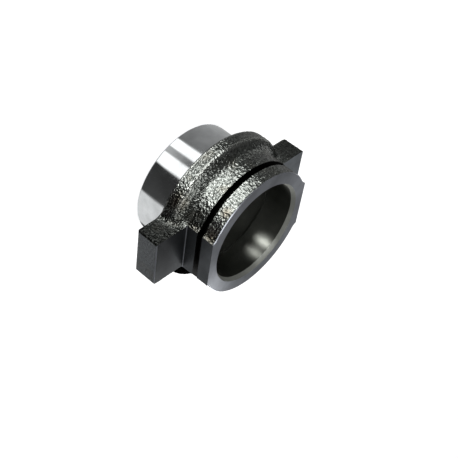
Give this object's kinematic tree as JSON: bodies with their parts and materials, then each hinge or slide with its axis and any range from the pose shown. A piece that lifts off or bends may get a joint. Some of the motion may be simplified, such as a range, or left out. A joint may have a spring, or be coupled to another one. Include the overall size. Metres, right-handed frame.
{
  "type": "clutch release bearing sleeve",
  "caption": "Cast iron clutch release sleeve: ground bearing seat, round shoulder, square fork lugs, grooved neck with milled side flats and a smooth through bore.",
  "frame": {"origin": "middle of the sleeve's rear end, on the bore's axis", "axes": "+Z along the bore's axis from the bearing seat to the front ring, +X towards one fork lug"},
  "size_m": [0.1054, 0.082, 0.052],
  "materials": {
    "cast_iron": "sand cast, faced, milled and ground where it works"
  },
  "bodies": {
    "root": {"release_sleeve": "cast_iron"}
  },
  "joints": []
}
